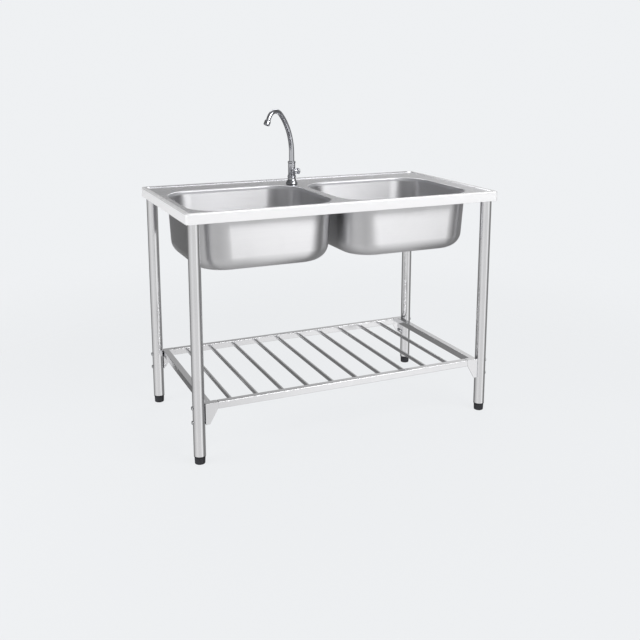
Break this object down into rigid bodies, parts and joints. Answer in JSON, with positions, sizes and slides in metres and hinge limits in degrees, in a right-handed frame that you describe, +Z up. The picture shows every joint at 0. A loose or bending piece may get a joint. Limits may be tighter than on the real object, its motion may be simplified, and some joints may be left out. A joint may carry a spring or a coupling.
{
  "type": "kitchen sink unit",
  "caption": "Free-standing double-bowl sink on tube legs, with a slatted shelf below, a swivelling swan-neck tap and adjustable feet.",
  "frame": {"origin": "on the floor under the middle of the top", "axes": "+X along the front to the right, +Y from the front to the back, +Z up"},
  "size_m": [1.1, 0.6, 1.0726],
  "materials": {
    "bowl_steel": "satin brushed sheet, lengthwise grain on the top and drawn bowls below",
    "tube_steel": "bright polished tube",
    "strainer_steel": "bright turned and polished",
    "chrome": "mirror chrome on brass",
    "black_plastic": "moulded, fine matt grain",
    "rubber": "matt",
    "zinc_steel": "zinc plated",
    "brass": "machined"
  },
  "bodies": {
    "sink_frame": {"back_left_foot_insert": "black_plastic", "back_left_leg": "tube_steel", "back_left_leg_socket": "tube_steel", "back_left_shelf_bracket": "tube_steel", "back_right_foot_insert": "black_plastic", "back_right_leg": "tube_steel", "back_right_leg_socket": "tube_steel", "back_right_shelf_bracket": "tube_steel", "front_left_foot_insert": "black_plastic", "front_left_leg": "tube_steel", "front_left_leg_socket": "tube_steel", "front_left_shelf_bracket": "tube_steel", "front_right_foot_insert": "black_plastic", "front_right_leg": "tube_steel", "front_right_leg_socket": "tube_steel", "front_right_shelf_bracket": "tube_steel", "left_bowl": "bowl_steel", "left_strainer_body": "strainer_steel", "leg_grub_screws": "zinc_steel", "right_bowl": "bowl_steel", "right_strainer_body": "strainer_steel", "shelf_back_rail": "tube_steel", "shelf_bolts": "zinc_steel", "shelf_front_rail": "tube_steel", "shelf_left_rail": "tube_steel", "shelf_nuts": "zinc_steel", "shelf_right_rail": "tube_steel", "shelf_slat_01": "tube_steel", "shelf_slat_02": "tube_steel", "shelf_slat_03": "tube_steel", "shelf_slat_04": "tube_steel", "shelf_slat_05": "tube_steel", "shelf_slat_06": "tube_steel", "shelf_slat_07": "tube_steel", "shelf_slat_08": "tube_steel", "shelf_slat_09": "tube_steel", "shelf_slat_10": "tube_steel", "sink_deck": "bowl_steel", "spout_nut": "chrome", "spout_seal": "rubber", "strainer_gaskets": "rubber", "strainer_locknuts": "black_plastic", "tap_base": "chrome", "tap_body": "chrome", "tap_cartridge": "brass", "tap_gasket": "rubber", "tap_locknut": "brass"},
    "spout": {"tap_spout": "chrome", "tap_aerator": "chrome"},
    "handle": {"tap_handle": "chrome"},
    "left_basket": {"left_strainer_basket": "strainer_steel"},
    "right_basket": {"right_strainer_basket": "strainer_steel"},
    "front_left_foot": {"front_left_foot_pad": "black_plastic"},
    "front_left_screw": {"front_left_levelling_screw": "zinc_steel"},
    "front_right_foot": {"front_right_foot_pad": "black_plastic"},
    "front_right_screw": {"front_right_levelling_screw": "zinc_steel"},
    "back_left_foot": {"back_left_foot_pad": "black_plastic"},
    "back_left_screw": {"back_left_levelling_screw": "zinc_steel"},
    "back_right_foot": {"back_right_foot_pad": "black_plastic"},
    "back_right_screw": {"back_right_levelling_screw": "zinc_steel"}
  },
  "joints": [
    {"name": "spout_swivel", "type": "hinge", "parent": "sink_frame", "child": "spout", "pos_m": [-0.025, 0.172, 0.885], "axis": [0, 0, 1], "range_deg": [-30, 150]},
    {"name": "handle_turn", "type": "hinge", "parent": "sink_frame", "child": "handle", "pos_m": [-0.005, 0.172, 0.843], "axis": [1, 0, 0], "range_deg": [0, 90]},
    {"name": "left_basket_lift", "type": "slide", "parent": "sink_frame", "child": "left_basket", "axis": [0, 0, 1], "range_m": [0, 0.24]},
    {"name": "right_basket_lift", "type": "slide", "parent": "sink_frame", "child": "right_basket", "axis": [0, 0, 1], "range_m": [0, 0.24]},
    {"name": "front_left_foot_travel", "type": "slide", "parent": "sink_frame", "child": "front_left_foot", "axis": [0, 0, 1], "range_m": [-0.015, 0]},
    {"name": "front_left_screw_turn", "type": "hinge", "parent": "front_left_foot", "child": "front_left_screw", "pos_m": [-0.52, -0.27, 0.02], "axis": [0, 0, 1], "range_deg": [-3600, 0]},
    {"name": "front_right_foot_travel", "type": "slide", "parent": "sink_frame", "child": "front_right_foot", "axis": [0, 0, 1], "range_m": [-0.015, 0]},
    {"name": "front_right_screw_turn", "type": "hinge", "parent": "front_right_foot", "child": "front_right_screw", "pos_m": [0.52, -0.27, 0.02], "axis": [0, 0, 1], "range_deg": [-3600, 0]},
    {"name": "back_left_foot_travel", "type": "slide", "parent": "sink_frame", "child": "back_left_foot", "axis": [0, 0, 1], "range_m": [-0.015, 0]},
    {"name": "back_left_screw_turn", "type": "hinge", "parent": "back_left_foot", "child": "back_left_screw", "pos_m": [-0.52, 0.27, 0.02], "axis": [0, 0, 1], "range_deg": [-3600, 0]},
    {"name": "back_right_foot_travel", "type": "slide", "parent": "sink_frame", "child": "back_right_foot", "axis": [0, 0, 1], "range_m": [-0.015, 0]},
    {"name": "back_right_screw_turn", "type": "hinge", "parent": "back_right_foot", "child": "back_right_screw", "pos_m": [0.52, 0.27, 0.02], "axis": [0, 0, 1], "range_deg": [-3600, 0]}
  ],
  "couplings": [
    {"joint": "front_left_screw_turn", "follows": "front_left_foot_travel", "rad_per_m": 4188.8},
    {"joint": "front_right_screw_turn", "follows": "front_right_foot_travel", "rad_per_m": 4188.8},
    {"joint": "back_left_screw_turn", "follows": "back_left_foot_travel", "rad_per_m": 4188.8},
    {"joint": "back_right_screw_turn", "follows": "back_right_foot_travel", "rad_per_m": 4188.8}
  ]
}
